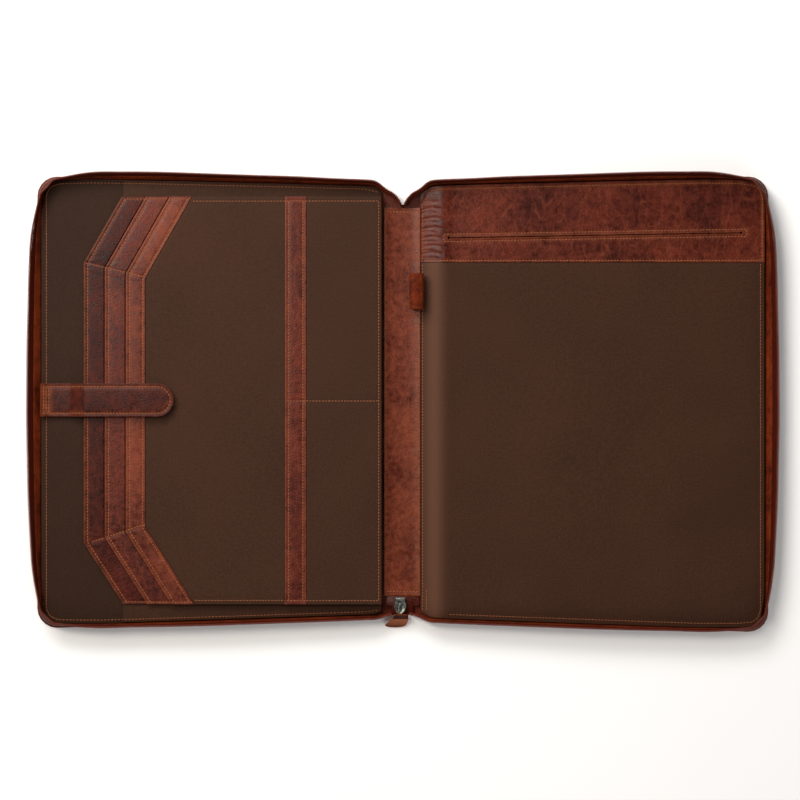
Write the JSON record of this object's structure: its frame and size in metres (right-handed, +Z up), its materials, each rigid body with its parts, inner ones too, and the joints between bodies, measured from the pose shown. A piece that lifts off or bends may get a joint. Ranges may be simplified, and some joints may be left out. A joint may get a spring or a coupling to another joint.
{
  "type": "leather document case",
  "caption": "Zip-around leather document case lying open: stepped pockets and a closing strap on the left, a pad pocket on the right.",
  "frame": {"origin": "centre of the underside's bounding box, on the surface that the open case lies on", "axes": "+X towards the outer edge of the pad half, +Y towards the top edge of the case, +Z up, square to the open covers"},
  "size_m": [0.5675, 0.3475, 0.0178],
  "materials": {
    "leather": "pull-up leather, reddish brown, semi-matt, with scratches and worn edges",
    "dark_leather": "darker pull-up leather with a raw orange-brown edge",
    "lining_fabric": "plain olive-brown woven lining, matt",
    "zip_tape": "dark red-brown woven zip tape",
    "zip_coil": "red-brown nylon coil teeth",
    "antique_nickel": "antique nickel, grey-green, worn bright at the nose"
  },
  "bodies": {
    "root": {"outer_cover": "leather", "gusset_left": "leather", "gusset_right": "leather", "pocket_trim_1": "leather", "pocket_trim_2": "leather", "pocket_trim_3": "leather", "side_strip": "leather", "strap_tab": "leather", "spine_strip": "leather", "pen_loop": "leather", "pad_header": "leather", "zip_end_bottom": "dark_leather", "pull_tab": "dark_leather", "lining_left": "lining_fabric", "lining_right": "lining_fabric", "document_pocket": "lining_fabric", "pocket_panel_1": "lining_fabric", "pocket_panel_2": "lining_fabric", "pocket_panel_3": "lining_fabric", "side_pocket": "lining_fabric", "pad_panel": "lining_fabric", "zip_tape_left": "zip_tape", "zip_tape_right": "zip_tape", "zip_end_top": "zip_tape", "zip_coil_left": "zip_coil", "zip_coil_right": "zip_coil", "slider_body": "antique_nickel", "slider_bail": "antique_nickel", "strap_snap": "antique_nickel"}
  },
  "joints": []
}
